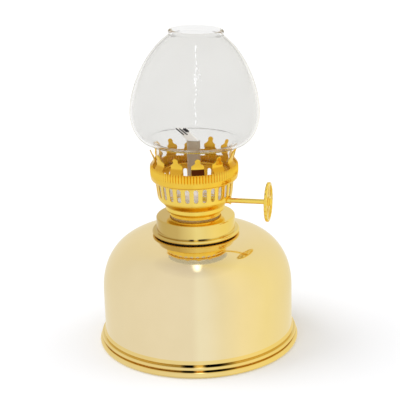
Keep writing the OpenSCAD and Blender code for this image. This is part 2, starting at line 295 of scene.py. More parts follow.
def mix_colors(tree, blend, first, second, amount=None):
    """Blends two colours; without an amount the blend is full. The second may be a constant."""
    node = tree.nodes.new("ShaderNodeMix")
    node.data_type = "RGBA"
    node.blend_type = blend
    factor, a, b = node.inputs[0], node.inputs[6], node.inputs[7]
    factor.default_value = 1.0
    if amount is not None:
        tree.links.new(amount, factor)
    tree.links.new(first, a)
    if isinstance(second, tuple):
        b.default_value = (*second, 1)
    else:
        tree.links.new(second, b)
    return node.outputs[2]


def tint(material, color, amount):
    """Mixes a constant colour into a material's own, by a socket that goes from 0 to 1."""
    tree = material.node_tree
    surface = tree.nodes["Principled BSDF"]
    own = surface.inputs["Base Color"].links[0].from_socket
    feed(surface, "Base Color", mix_colors(tree, "MIX", own, color, amount))


def bump(tree, height, distance, normal=None):
    """Bumps up to this distance in metres, on top of another bump if one is given."""
    node = tree.nodes.new("ShaderNodeBump")
    node.inputs["Strength"].default_value = 1.0
    node.inputs["Distance"].default_value = distance
    feed(node, "Height", height)
    if normal is not None:
        feed(node, "Normal", normal)
    return node.outputs["Normal"]


def polished_metal(name, dark, light, roughness, line_depth, dent_depth, metallic=1.0):
    """Plated sheet: faint cloudiness, fine lathe lines round the axis and slight waviness."""
    cloud_scale, smear_scale, dent_scale, line_scale = 45, 160, 70, 2600
    material, tree, surface = new_material(name)
    plain = object_coords(tree)
    lines = object_coords(tree, (0.05, 0.05, 1))
    cloud = noise(tree, plain, cloud_scale, 4)
    feed(surface, "Base Color", two_tone(tree, cloud, dark, light))
    smear = noise(tree, plain, smear_scale, 5, 0.6)
    feed(surface, "Roughness", remap(tree, smear, *roughness))
    wave = bump(tree, noise(tree, plain, dent_scale, 1), dent_depth)
    turned = noise(tree, lines, line_scale, 2)
    feed(surface, "Normal", bump(tree, turned, line_depth, wave))
    surface.inputs["Metallic"].default_value = metallic
    return material


def pale_gold_material():
    return polished_metal(
        "pale_gold", (0.885, 0.745, 0.455), (0.915, 0.775, 0.485),
        roughness=(0.06, 0.11), line_depth=0.5e-6, dent_depth=5e-6,
    )


def paint_shade_and_reflection_rings(material, heights, half_height, color):
    """Paints thin dark rings on a turned piece as painted shade and painted dark reflections: in two
    patches at the front, faint elsewhere.
    """
    tree = material.node_tree
    coords = object_coords(tree)
    facing = tree.nodes.new("ShaderNodeMapping")
    facing.inputs["Rotation"].default_value = (0, 0, math.radians(-CAMERA_AZIMUTH))
    feed(facing, "Vector", coords)
    faint, partial, full, clean = (0.12, 0.12, 0.12), (0.3, 0.3, 0.3), (1, 1, 1), (0, 0, 0)
    side = camera_turn(tree, facing.outputs["Vector"])
    # Painted dark reflections in two patches at the front, with a clean gap between them; faint painted
    # shade round the rest.
    patches = ramp(tree, side, azimuth_stops(
        (-30, faint), (-11, partial), (-8, full), (-3.4, full), (-2.6, clean),
        (2.4, clean), (3.2, full), (11, full), (22, faint),
    ))
    height = separate(tree, coords)["Z"]
    for ring_z in heights:
        above = math_node(tree, "SUBTRACT", height, ring_z * MM)
        apart = math_node(tree, "ABSOLUTE", above)
        line = remap(tree, apart, 1.0, 0.0, half_height * 0.6 * MM, half_height * MM)
        tint(material, color, math_node(tree, "MULTIPLY", line, patches))
    return material


def collar_gold_material():
    """Gold plate with painted shade on the side away from the knob, and a painted dark reflection ring
    above the lip.
    """
    material = polished_metal(
        "collar_gold", (0.87, 0.67, 0.21), (0.92, 0.73, 0.27),
        roughness=(0.07, 0.13), line_depth=0.9e-6, dent_depth=1.6e-5,
    )
    tree = material.node_tree
    across = separate(tree, object_coords(tree))["X"]
    # Painted shade: the side away from the knob is darker and browner.
    tint(material, (0.62, 0.44, 0.13), remap(tree, across, 1.0, 0.0, -5 * MM, 3 * MM))
    # A painted dark reflection ring just above the lip, darkest at the front.
    return paint_shade_and_reflection_rings(material, [FONT_TOP + 2.5], 0.3, (0.06, 0.035, 0.02))


def foot_gold_material():
    """Deeper gold, with painted shade in the two grooves beside the bead, darkest as painted reflections
    at the front.
    """
    groove_above, groove_below = 5.6, 3.25
    material = polished_metal(
        "foot_gold", (0.88, 0.67, 0.25), (0.93, 0.73, 0.31),
        roughness=(0.05, 0.09), line_depth=0.5e-6, dent_depth=4e-6,
    )
    # Painted shade in the grooves above and below the bead, with painted dark reflections in two patches
    # at the front.
    return paint_shade_and_reflection_rings(material, [groove_above, groove_below], 0.5, (0.03, 0.018, 0.008))


def burner_gold_material():
    return polished_metal(
        "burner_gold", (0.93, 0.67, 0.11), (0.98, 0.74, 0.17),
        roughness=(0.08, 0.15), line_depth=1.5e-6, dent_depth=2.6e-5,
    )


def gallery_gold_material():
    """A deeper gold, with painted dark reflection on the prongs' stems, dark brown on the front one."""
    material = polished_metal(
        "gallery_gold", (0.90, 0.57, 0.05), (0.98, 0.66, 0.10),
        roughness=(0.10, 0.19), line_depth=1.5e-6, dent_depth=1.2e-5,
    )
    tree = material.node_tree
    coords = object_coords(tree)
    height = separate(tree, coords)["Z"]
    # Painted dark reflection: browns the prongs' stems between the band and the waist.
    low = remap(tree, height, 0.0, 0.6, (BOWL_TOP + 3.5) * MM, (BOWL_TOP + 6) * MM)
    high = remap(tree, height, 1.0, 0.0, (BOWL_TOP + 7.2) * MM, (BOWL_TOP + 8) * MM)
    tint(material, (0.62, 0.27, 0.012), math_node(tree, "MULTIPLY", low, high))

    # A painted dark reflection on the front prong's stem, nearly black.
    depth, half_width, half_height, middle_r = 3 * MM, 3.4 * MM, 1.4 * MM, 20.3
    stem = tree.nodes.new("ShaderNodeMapping")
    stem.vector_type = "TEXTURE"
    stem.inputs["Location"].default_value = around(FRONT_PRONG, middle_r, BOWL_TOP + 6.35)
    stem.inputs["Rotation"].default_value = (0, 0, FRONT_PRONG)
    stem.inputs["Scale"].default_value = (depth, half_width, half_height)
    feed(stem, "Vector", coords)
    axes = separate(tree, stem.outputs["Vector"])
    reach_x, reach_y, reach_z = (math_node(tree, "ABSOLUTE", axis) for axis in axes)
    reach = math_node(tree, "MAXIMUM", reach_x, reach_y)
    reach = math_node(tree, "MAXIMUM", reach, reach_z)
    tint(material, (0.085, 0.018, 0.004), remap(tree, reach, 1.0, 0.0, 0.85, 1.0))
    return material


def satin_gold_material(name="satin_gold"):
    """The unpolished inner side of the burner's sheet metal."""
    return polished_metal(
        name, (0.88, 0.47, 0.015), (0.96, 0.57, 0.04),
        roughness=(0.38, 0.48), line_depth=2e-6, dent_depth=1e-5, metallic=0.3,
    )


def bowl_lining_material():
    """The inside of the bowl: satin gold above, tinned below."""
    material = satin_gold_material("bowl_lining")
    tree = material.node_tree
    height = separate(tree, object_coords(tree))["Z"]
    low = remap(tree, height, 1.0, 0.0, (SLOT_LOW + 1) * MM, (SLOT_LOW + 3) * MM)
    tint(material, (0.88, 0.88, 0.87), low)
    return material


def bright_tin_material():
    return polished_metal(
        "bright_tin", (0.92, 0.92, 0.91), (0.99, 0.99, 0.98),
        roughness=(0.30, 0.42), line_depth=2e-6, dent_depth=1e-5, metallic=0.2,
    )


def tinned_steel_material():
    """Tinned sheet, streaked along its length, darker and brown towards the flame."""
    soot_low, soot_high, heat_low, heat_high = 74 * MM, 84 * MM, 93 * MM, 103 * MM
    material, tree, surface = new_material("tinned_steel")
    plain = object_coords(tree)
    streaks = object_coords(tree, (1, 1, 0.08))
    grey = two_tone(tree, noise(tree, streaks, 900, 4), (0.76, 0.75, 0.72), (0.90, 0.89, 0.86))
    height = separate(tree, plain)["Z"]
    soot = remap(tree, height, 0.0, 1.0, soot_low, soot_high)
    grey = mix_colors(tree, "MIX", grey, (0.56, 0.50, 0.40), soot)
    heat = remap(tree, height, 0.0, 0.6, heat_low, heat_high)
    blotch = noise(tree, plain, 420, 3)
    amount = math_node(tree, "MULTIPLY", heat, blotch)
    brown = mix_colors(tree, "MIX", grey, (0.30, 0.22, 0.13), amount)
    feed(surface, "Base Color", brown)
    feed(surface, "Roughness", remap(tree, blotch, 0.30, 0.45))
    scratch = noise(tree, streaks, 2400, 2)
    feed(surface, "Normal", bump(tree, scratch, 4e-6))
    surface.inputs["Metallic"].default_value = 0.45
    return material


def seal_material(name, dark, light):
    """Matte grainy sheet for the seals."""
    material, tree, surface = new_material(name)
    grain = noise(tree, object_coords(tree), 1500, 5)
    feed(surface, "Base Color", two_tone(tree, grain, dark, light))
    feed(surface, "Roughness", remap(tree, grain, 0.5, 0.75))
    feed(surface, "Normal", bump(tree, grain, 2e-5))
    return material


def cotton_material(name, dark, light):
    """Spun yarn: fine fibres across the strand and a soft sheen."""
    material, tree, surface = new_material(name)
    fibres = object_coords(tree, (1, 1, 0.4))
    grain = noise(tree, fibres, 5200, 6, 0.7)
    feed(surface, "Base Color", two_tone(tree, grain, dark, light))
    feed(surface, "Normal", bump(tree, grain, 4e-5))
    surface.inputs["Roughness"].default_value = 0.9
    surface.inputs["Sheen Weight"].default_value = 0.35
    surface.inputs["Sheen Roughness"].default_value = 0.5
    return material


def glass_material():
    """Thin blown glass, with the slow ripples and fine seed of hand-blown ware."""
    material, tree, surface = new_material("chimney_glass")
    slow = object_coords(tree, (1, 1, 0.45))
    plain = object_coords(tree)
    ripple = bump(tree, noise(tree, slow, 60, 1), 5e-5)
    seed = noise(tree, plain, 900, 2)
    feed(surface, "Normal", bump(tree, seed, 1.5e-6, ripple))
    smear = noise(tree, plain, 35, 4)
    feed(surface, "Roughness", remap(tree, smear, 0.0, 0.03))
    color = two_tone(tree, smear, (0.845, 0.84, 0.82), (0.87, 0.865, 0.845))
    feed(surface, "Base Color", color)
    surface.inputs["Transmission Weight"].default_value = 1.0
    surface.inputs["IOR"].default_value = 1.13
    return material


# ---------------------------------------------------------------- mesh helpers

SHARP_ANGLE = math.radians(38)


def mesh_from(shape, name):
    mesh = bpy.data.meshes.new(name)
    shape.to_mesh(mesh)
    shape.free()
    return mesh


def closed_mesh(shape, name):
    """The mesh of a finished shape, with its faces turned outwards."""
    bmesh.ops.recalc_face_normals(shape, faces=shape.faces)
    return mesh_from(shape, name)


def add_piece(mesh, material, body, stands_for, lining=None):
    """Puts a finished mesh in the scene under its own name, riding on a CAD body, in place
    of a CAD node. A lining is the material of the faces that look towards the axis."""
    mesh.materials.clear()
    mesh.materials.append(material)
    if lining:
        mesh.materials.append(lining)
        for face in mesh.polygons:
            outwards = Vector((face.center.x, face.center.y, 0)).normalized()
            face.material_index = 1 if face.normal.dot(outwards) < -0.3 else 0
    mesh.polygons.foreach_set("use_smooth", [True] * len(mesh.polygons))
    mesh.set_sharp_from_angle(angle=SHARP_ANGLE)
    piece = bpy.data.objects.new(mesh.name, mesh)
    scene.collection.objects.link(piece)
    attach(piece, body)
    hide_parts(stands_for)
    return piece


def arc(centre_r, centre_z, radius, start, end, steps=12):
    """Points on an arc of a profile, angles in degrees from +r towards +z."""
    turns = [math.radians(start + (end - start) * i / steps) for i in range(steps + 1)]
    return [(centre_r + radius * math.cos(t), centre_z + radius * math.sin(t)) for t in turns]


def swell(end_r, wide_r, wide_z, end_z, bulge_r, bulge_z, stop=90, steps=64):
    """Points on a quarter of a superellipse, from its widest point towards its end."""
    points = []
    for i in range(steps + 1):
        a = math.radians(stop * i / steps)
        across = max(math.cos(a), 0) ** (2 / bulge_r)
        along = math.sin(a) ** (2 / bulge_z)
        points.append((end_r + (wide_r - end_r) * across, wide_z + (end_z - wide_z) * along))
    return points


def smooth_line(points, steps=8):
    """Catmull-Rom curve through a few points of a profile."""
    line = []
    ends = [points[0], *points, points[-1]]
    for a, b, c, d in zip(ends, ends[1:], ends[2:], ends[3:]):
        for i in range(steps):
            t = i / steps
            line.append(tuple(
                0.5 * (2 * q + (r - p) * t + (2 * p - 5 * q + 4 * r - s) * t ** 2
                       + (3 * q - p - 3 * r + s) * t ** 3)
                for p, q, r, s in zip(a, b, c, d)
            ))
    return [*line, points[-1]]


def rounded(points, radius, steps=4):
    """A closed outline in millimetres with each corner eased by a small curve."""
    out = []
    count = len(points)
    for i, here in enumerate(points):
        corner = Vector(here)
        before = Vector(points[i - 1]) - corner
        after = Vector(points[(i + 1) % count]) - corner
        if before.length < 1e-6 or after.length < 1e-6:
            continue
        if before.angle(after) > math.radians(150):
            out.append(tuple(corner))
            continue
        start = corner + before.normalized() * min(radius, before.length * 0.45)
        end = corner + after.normalized() * min(radius, after.length * 0.45)
        for j in range(steps + 1):
            t = j / steps
            out.append(tuple(start * (1 - t) ** 2 + corner * 2 * t * (1 - t) + end * t ** 2))
    return out


def lathe(name, outline, segments=224):
    """Closed profile in millimetres, turned round the lamp's axis."""
    shape = bmesh.new()
    rings = []
    for r, z in outline:
        count = segments if r > 1e-6 else 1
        rings.append([
            shape.verts.new((
                r * MM * math.cos(2 * math.pi * i / segments),
                r * MM * math.sin(2 * math.pi * i / segments),
                z * MM,
            ))
            for i in range(count)
        ])
    for low, high in zip(rings, rings[1:] + rings[:1]):
        if len(low) == 1 and len(high) == 1:
            continue
        for i in range(segments):
            j = (i + 1) % segments
            corners = [low[i % len(low)], low[j % len(low)], high[j % len(high)], high[i % len(high)]]
            shape.faces.new(list(dict.fromkeys(corners)))
    return closed_mesh(shape, name)


def inside(point, outline):
    """Whether a 2D point is inside a closed outline."""
    x, y = point
    hit = False
    for (x1, y1), (x2, y2) in zip(outline, outline[1:] + outline[:1]):
        if (y1 > y) != (y2 > y) and x < (x2 - x1) * (y - y1) / (y2 - y1) + x1:
            hit = not hit
    return hit


def edge_distance(point, outline):
    """How far a 2D point is from a closed outline."""
    p = Vector(point)
    best = 1e9
    for a, b in zip(outline, outline[1:] + outline[:1]):
        a, b = Vector(a), Vector(b)
        along = b - a
        t = max(0.0, min(1.0, (p - a).dot(along) / max(along.length_squared, 1e-12)))
        best = min(best, (a + along * t - p).length)
    return best


def fine_outline(outline, step_u, step_v):
    """The outline with points no further apart than the grid."""
    points = []
    for (u1, v1), (u2, v2) in zip(outline, outline[1:] + outline[:1]):
        count = max(1, math.ceil(max(abs(u2 - u1) / step_u, abs(v2 - v1) / step_v) - 1e-6))
        points += [(u1 + (u2 - u1) * i / count, v1 + (v2 - v1) * i / count) for i in range(count)]
    return points


def sheet_pattern(outline, holes, step_u, step_v):
    """Triangles over a flat outline with holes, in a space where the grid is square."""
    stretch = step_u / step_v
    loops = [fine_outline(outline, step_u, step_v)] + [list(h) for h in holes]
    flat = [[(u, v * stretch) for u, v in loop] for loop in loops]
    points, edges = [], []
    for loop in flat:
        start = len(points)
        points += loop
        edges += [(start + i, start + (i + 1) % len(loop)) for i in range(len(loop))]
    us = [u for u, _ in flat[0]]
    vs = [v for _, v in flat[0]]
    columns = round((max(us) - min(us)) / step_u)
    rows = round((max(vs) - min(vs)) / step_u)
    for i in range(1, columns):
        for j in range(1, rows):
            p = (
                min(us) + (max(us) - min(us)) * i / columns,
                min(vs) + (max(vs) - min(vs)) * j / rows,
            )
            if not inside(p, flat[0]) or any(inside(p, h) for h in flat[1:]):
                continue
            if min(edge_distance(p, loop) for loop in flat) > 0.4 * step_u:
                points.append(p)
    verts, _, faces, *_ = delaunay_2d_cdt([Vector(p) for p in points], edges, [], 0, 1e-7)
    kept = []
    for face in faces:
        centre = sum((verts[i] for i in face), Vector((0, 0))) / len(face)
        if inside(centre, flat[0]) and not any(inside(centre, h) for h in flat[1:]):
            kept.append(list(face))
    return [(v.x, v.y / stretch) for v in verts], kept


def stamped(name, sectors, outline, holes, place, step_u, step_v, thickness):
    """A sheet-metal ring: one flat sector, bent by place(angle, v) and repeated round the axis.

    The outline is in radians of turn and millimetres along the bent profile."""
    pattern, faces = sheet_pattern(outline, holes, step_u, step_v)
    shape = bmesh.new()
    for k in range(sectors):
        turn = 2 * math.pi * k / sectors
        verts = [shape.verts.new(place(u + turn, v)) for u, v in pattern]
        for face in faces:
            shape.faces.new([verts[i] for i in face])
    bmesh.ops.remove_doubles(shape, verts=shape.verts, dist=0.01 * MM)
    return thicken(closed_mesh(shape, name), thickness)


def thicken(mesh, thickness):
    """Gives a sheet its thickness, inwards from the modelled face, with eased edges."""
    holder = bpy.data.objects.new(mesh.name + "_flat", mesh)
    scene.collection.objects.link(holder)
    solid = holder.modifiers.new("thickness", "SOLIDIFY")
    solid.thickness = thickness * MM
    solid.offset = -1
    solid.use_even_offset = True
    ease = holder.modifiers.new("edge", "BEVEL")
    ease.width = 0.1 * thickness * MM
    ease.segments = 2
    ease.limit_method = "ANGLE"
    ease.angle_limit = math.radians(50)
    bpy.context.view_layer.update()
    graph = bpy.context.evaluated_depsgraph_get()
    solid_mesh = bpy.data.meshes.new_from_object(holder.evaluated_get(graph))
    bpy.data.objects.remove(holder)
    name = mesh.name
    bpy.data.meshes.remove(mesh)
    solid_mesh.name = name
    return solid_mesh


class Profile:
    """A line of (r, z) points in millimetres, read by the distance along it."""

    def __init__(self, points):
        self.r = np.array([p[0] for p in points], float)
        self.z = np.array([p[1] for p in points], float)
        steps = np.hypot(np.diff(self.r), np.diff(self.z))
        self.s = np.concatenate([[0], np.cumsum(steps)])
        self.length = float(self.s[-1])

    def at(self, s):
        return float(np.interp(s, self.s, self.r)), float(np.interp(s, self.s, self.z))

    def along_to(self, z):
        """Distance along a rising profile to this height."""
        return float(np.interp(z, self.z, self.s))


def around(angle, r, z):
    return Vector((r * MM * math.cos(angle), r * MM * math.sin(angle), z * MM))


# ---------------------------------------------------------------- font

# From here on, sizes are in millimetres and turns round the axis in radians.
FOOT_R = cad_high.x / MM
FONT_TOP = 56.0
COLLAR_TOP = 65.2
WALL_R = 47.1
SHEET = 0.8
ROLL_R = 1.5
SEAM_Z = 2 * ROLL_R
FONT_SIDES = 288


def build_font(gold, foot_gold):
    """The dome with its neck, the two beads round its lower edge, and the rolled base plate."""
    flare_z, flare_r, bead_z, bead_r = 6.5, 0.6, 4.4, 0.95
    neck_r, neck_h = 17.2, 5
    shoulder_r, shoulder_z, bulge = 20.4, 27.4, 2.25
    joint_z = flare_z + 2 * flare_r
    inner = WALL_R - SHEET
    neck_in = neck_r - SHEET
    outline = [(inner, joint_z)]
    outline += [(WALL_R, joint_z + 2 * i) for i in range(9)]
    outline += swell(shoulder_r, WALL_R, shoulder_z, FONT_TOP, bulge, bulge)
    outline += arc(neck_r + 0.5, FONT_TOP + 0.5, 0.5, 270, 180, 5)
    outline += [(neck_r, FONT_TOP + neck_h), (neck_in, FONT_TOP + neck_h), (neck_in, FONT_TOP - SHEET)]
    outline += swell(shoulder_r, inner, shoulder_z, FONT_TOP - SHEET, bulge, bulge)[::-1]
    add_piece(lathe("font", outline, FONT_SIDES), gold, "root", "font_shell")

    beads = [(inner, SEAM_Z), (FOOT_R - ROLL_R - 0.8, SEAM_Z), (FOOT_R - 2.6, SEAM_Z + 0.5)]
    beads += arc(FOOT_R - 1.9, bead_z, bead_r, -75, 95, 20)
    beads += [(WALL_R + 0.25, bead_z + bead_r + 0.2)]
    beads += arc(WALL_R + 0.2, flare_z, flare_r, -60, 45, 12)
    beads += arc(WALL_R + flare_r, joint_z + 0.25, flare_r, 225, 180, 6)
    beads += [(inner, joint_z + 0.25)]
    mesh = lathe("font_beads", beads, FONT_SIDES)
    add_piece(mesh, foot_gold, "root", "font_shell")

    centre = FOOT_R - ROLL_R
    land_w, slope_w, low, high = 1.4, 0.8, 1.6, 2.3
    base = [(0, low), (centre - land_w - slope_w, low), (centre - land_w, 0)]
    base += arc(centre, ROLL_R, ROLL_R, -90, 90, 24)
    base += [(inner, SEAM_Z), (inner, high), (0, high)]
    add_piece(lathe("base", base, FONT_SIDES), foot_gold, "root", "base_plate")


def build_collar(gold):
    low, high = FONT_TOP + 0.5, COLLAR_TOP
    drum, lip, lip_round, edge, fillet = 19.4, 21.6, 0.9, 0.9, 0.5
    bore, skirt = 11.5, 12.4
    inside_r = drum - SHEET
    outline = [(inside_r, low)] + arc(lip - lip_round, low + lip_round, lip_round, -90, 90, 12)
    outline += arc(drum + fillet, low + 2 * lip_round + fillet, fillet, 270, 180, 6)
    outline += arc(drum - edge, high - edge, edge, 0, 90, 10)
    outline += arc(bore + fillet, high - fillet, fillet, 90, 180, 5)
    outline += [(bore, low + 1), (skirt, low + 1), (skirt, high - SHEET), (inside_r, high - SHEET)]
    add_piece(lathe("collar_drum", outline), gold, "root", "collar")


# ---------------------------------------------------------------- burner

FLANGE_Z = 65.8
FLOOR_Z = FLANGE_Z + 3.9
FLOOR_R = 13.6
BOWL_LOW = FLANGE_Z + 5.0
BOWL_TOP = FLANGE_Z + 20.3
SLOTS = 28
SLOT_W = 2.1
SLOT_H = 6.9
SLOT_LOW = FLANGE_Z + 10.7
SLOT_TURN = math.radians(1.8)
PRONGS = 12
PRONG_TURN = math.radians(18)
FRONT_PRONG = math.radians(-72)
FLUTES = 90


def build_ferrule(gold):
    tube, root, crest = 9.9, 10.7, 11.2
    pitch, rings, first = 1.3, 5, FLANGE_Z - 6.6
    flange_r, edge = 12.7, 0.35
    outline = [(tube, FLANGE_Z - 7.4), (root, FLANGE_Z - 7.4)]
    for i in range(rings):
        z = first + i * pitch
        outline += [(root, z), (crest, z + 0.45 * pitch), (root, z + 0.9 * pitch)]
    outline += [(root, FLANGE_Z)] + arc(flange_r - edge, FLANGE_Z + edge, edge, -90, 90, 8)
    outline += smooth_line([(12.2, FLANGE_Z + 0.75), (12.2, FLANGE_Z + 1.2), (12.8, FLANGE_Z + 1.75)], 6)
    outline += arc(13.0, FLANGE_Z + 3.6, 1.6, -60, 0, 12)
    outline += [(14.6, BOWL_LOW), (FLOOR_R, BOWL_LOW), (FLOOR_R, FLOOR_Z)]
    outline += [(FLOOR_R - 1.2, FLOOR_Z), (tube, FLANGE_Z + 1.2)]
    add_piece(lathe("ferrule", outline), gold, "burner", "burner_ferrule")


def slot_outline(centre_v, width, height, steps=10):
    """A long hole with round ends, turning anticlockwise, in millimetres."""
    straight = (height - width) / 2
    points = []
    for side, start in ((1, 0), (-1, 180)):
        for i in range(steps + 1):
            a = math.radians(start + 180 * i / steps)
            points.append((width / 2 * math.cos(a), centre_v + side * straight + width / 2 * math.sin(a)))
    return points


def build_bowl(gold, lining):
    """A drawn cup: small flat bottom, sloping flank, round corner and a slotted wall."""
    corner, top_r, mean_r = 3.2, 19.5, 18.6
    centre_r = 17.4 - corner * math.cos(math.radians(45))
    centre_z = FLANGE_Z + 7.8 + corner * math.sin(math.radians(45))
    line = [(FLOOR_R, BOWL_LOW), (14.5, BOWL_LOW), (14.75, BOWL_LOW + 0.15)]
    line += arc(centre_r, centre_z, corner, -45, -6, 12)
    line += [(top_r - 0.6, FLANGE_Z + 15.0), (top_r, BOWL_TOP)]
    profile = Profile(line)
    half = math.pi / SLOTS
    outline = [(-half, 0), (half, 0), (half, profile.length), (-half, profile.length)]
    middle = profile.along_to(SLOT_LOW + SLOT_H / 2)
    hole = [(x / mean_r, v) for x, v in slot_outline(middle, SLOT_W, SLOT_H)]

    def place(angle, v):
        return around(angle + SLOT_TURN, *profile.at(v))

    mesh = stamped("bowl", SLOTS, outline, [hole], place, half / 4, step_v=0.6, thickness=0.6)
    add_piece(mesh, gold, "burner", "burner_bowl", lining)


def crown_profile():
    """Outside of the gallery from the turned-in lower edge up to the prongs' tips."""
    z = BOWL_TOP
    return Profile(smooth_line([
        (19.65, z - 1.65), (20.3, z - 1.7), (20.8, z - 1.3), (20.95, z - 0.3),
        (21.05, z + 2.0), (21.0, z + 4.0), (20.75, z + 5.3), (19.95, z + 6.5),
        (19.2, z + 7.7), (19.35, z + 9.0), (20.1, z + 11.0), (20.9, z + 13.1),
    ]))


def prong_outline(profile):
    """One sector of the gallery, unrolled: band below, one prong with shoulders and a tip."""
    half = math.pi / PRONGS
    gap_v = profile.along_to(BOWL_TOP + 5.1)
    waist_v = profile.along_to(BOWL_TOP + 7.7)
    ball = 1.3
    ball_v = profile.length - ball
    mean_r = 19.9
    right_side = [
        (3.5, gap_v + 0.03), (3.2, gap_v + 0.15), (3.1, gap_v + 0.5), (3.1, waist_v + 1.5),
        (2.9, waist_v + 1.9), (2.0, waist_v + 2.5), (1.45, waist_v + 3.0), (1.2, waist_v + 3.6),
    ]
    side = [(half, gap_v)] + [(x / mean_r, v) for x, v in right_side]
    tip = [
        (ball * math.cos(math.radians(a)) / mean_r, ball_v + ball * math.sin(math.radians(a)))
        for a in range(-20, 201, 20)
    ]
    mirrored = [(-u, v) for u, v in reversed(side)]
    return [(-half, 0), (half, 0), *side, *tip, *mirrored]


def build_crown(gold, lining):
    profile = crown_profile()
    flute_low = profile.along_to(BOWL_TOP + 0.7)
    flute_high = profile.along_to(BOWL_TOP + 5.5)
    edge_v = profile.along_to(BOWL_TOP + 5.1)
    depth, fade, notch, notch_reach = 0.85, 0.4, 0.8, 0.8

    def place(angle, v):
        """Round ribs with deep grooves between them. The grooves fade out at both ends of
        the band and notch its upper edge."""
        r, z = profile.at(v)
        fade_low = min(1.0, max(0.0, (v - flute_low) / fade))
        fade_high = min(1.0, max(0.0, (flute_high - v) / fade))
        groove = 0.5 + 0.5 * math.cos(FLUTES * angle)
        z -= notch * groove * max(0.0, 1 - abs(v - edge_v) / notch_reach)
        return around(angle + PRONG_TURN, r - depth * groove * fade_low * fade_high, z)

    step = 2 * math.pi / FLUTES / 8
    flat = prong_outline(profile)
    mesh = stamped("gallery", PRONGS, flat, [], place, step, step_v=0.45, thickness=0.42)
    add_piece(mesh, gold, "burner", "gallery_crown", lining)

    inner, outer, low, high = 17, 20.5, BOWL_TOP, BOWL_TOP + 0.6
    mesh = lathe("gallery_shelf", rounded([(inner, low), (outer, low), (outer, high), (inner, high)], 0.2))
    add_piece(mesh, gold, "burner", "gallery_crown")


# ---------------------------------------------------------------- winder

SHAFT_Y = -3.8
SHAFT_Z = FLANGE_Z + 8.5
KNOB_X = 37.0
KNOB_R = 9.6


def on_shaft(mesh, x):
    """Lays a mesh that is turned round Z along the winder shaft, starting at x."""
    place = Matrix.Translation(Vector((x, SHAFT_Y, SHAFT_Z)) * MM)
    mesh.transform(place @ Matrix.Rotation(math.pi / 2, 4, "Y"))
    return mesh


def cut_disc(name, outlines, half_thickness, ease):
    """A flat plate from closed outlines in millimetres, holes included, with eased edges."""
    curve = bpy.data.curves.new(name, "CURVE")
    curve.dimensions = "2D"
    curve.fill_mode = "BOTH"
    curve.extrude = (half_thickness - ease) * MM
    curve.bevel_depth = ease * MM
    curve.bevel_resolution = 3
    curve.offset = -ease * MM
    for points in outlines:
        spline = curve.splines.new("POLY")
        spline.points.add(len(points) - 1)
        for point, (x, y) in zip(spline.points, points):
            point.co = (x * MM, y * MM, 0, 1)
        spline.use_cyclic_u = True
    holder = bpy.data.objects.new(name, curve)
    scene.collection.objects.link(holder)
    bpy.context.view_layer.update()
    graph = bpy.context.evaluated_depsgraph_get()
    mesh = bpy.data.meshes.new_from_object(holder.evaluated_get(graph))
    bpy.data.objects.remove(holder)
    shape = bmesh.new()
    shape.from_mesh(mesh)
    bmesh.ops.remove_doubles(shape, verts=shape.verts, dist=0.002 * MM)
    bmesh.ops.recalc_face_normals(shape, faces=shape.faces)
    shape.to_mesh(mesh)
    shape.free()
    mesh.name = name
    return mesh


def circle(radius, steps, scallops=0, depth=0.0):
    """A closed outline, with scallops cut to this depth if any are asked for."""
    points = []
    for i in range(steps):
        a = 2 * math.pi * i / steps
        r = radius - depth * (0.5 + 0.5 * math.cos(scallops * a))
        points.append((r * math.cos(a), r * math.sin(a)))
    return points


def petal(angle, inner, outer, spread, steps=12):
    """An opening between two spokes: wide and round outside, narrow near the hub."""
    points = []
    for i in range(2 * steps):
        t = math.pi * i / steps
        r = (inner + outer) / 2 - (outer - inner) / 2 * math.cos(t)
        across = spread * math.sin(t) * (r / outer)
        points.append((
            r * math.cos(angle) - across * math.sin(angle),
            r * math.sin(angle) + across * math.cos(angle),
        ))
    return points


def build_knob(gold):
    openings = 6
    edge = circle(KNOB_R, steps=240, scallops=24, depth=0.45)
    petals = [petal(2 * math.pi * i / openings, 3.3, 7.9, 2.1) for i in range(openings)]
    web = cut_disc("knob_web", [circle(KNOB_R - 0.8, steps=96), *petals], 0.4, 0.14)
    rim = cut_disc("knob_rim", [edge, circle(KNOB_R - 1.5, steps=96)], 0.75, 0.28)
    hub = lathe("knob_hub", rounded([(1.2, -0.75), (2.8, -0.75), (2.8, 0.75), (1.2, 0.75)], 0.3), 64)
    for mesh in (web, rim, hub):
        add_piece(on_shaft(mesh, KNOB_X), gold, "winder", "knob_wheel")
    head_r, brim, dome = 1.9, 0.3, 1.0
    turns = np.linspace(0, math.pi / 2, 11)[:-1]
    head = [(0, 0), (head_r, 0)]
    head += [(head_r * math.cos(a), brim + dome * math.sin(a)) for a in turns]
    head += [(0, brim + dome)]
    mesh = on_shaft(lathe("knob_rivet_head", head, 48), KNOB_X + 0.75)
    add_piece(mesh, gold, "winder", "knob_rivet")


# ---------------------------------------------------------------- wick

TUBE_TOP = FLANGE_Z + 36.8
WICK_HALF = 2.8
WICK_HALF_T = 0.75
WICK_LOW = 12.0
WICK_TOP = 5.9
WICK_SHIFT = 5.4


def wick_point(s, across, out):
    """A point of the wick, s above the tube's mouth: the strip is pulled over to the left
    above the mouth, and its cut end stays level. Out of its face is towards the back."""
    shift = WICK_SHIFT * (max(s, 0) / WICK_TOP) ** 0.85
    return Vector((across - shift, out, TUBE_TOP + s)) * MM


def braid(s, across):
    """Height of the plaited yarns, 0 to 1: chevrons that meet along the wick's length."""
    yarn_w, plait_h, slant = 1.4, 0.62, 0.9
    column = across / yarn_w
    way = 1 if math.floor(column) % 2 == 0 else -1
    phase = s / plait_h + way * (column - math.floor(column)) * slant
    groove = abs(math.sin(math.pi * column)) ** 0.5
    return abs(math.sin(math.pi * phase)) ** 0.6 * groove


def skin(shape, rings):
    """Joins rings of points with faces and closes both ends."""
    sides = len(rings[0])
    for low, high in zip(rings, rings[1:]):
        for i in range(sides):
            j = (i + 1) % sides
            shape.faces.new((low[i], low[j], high[j], high[i]))
    shape.faces.new(rings[0])
    shape.faces.new(rings[-1])


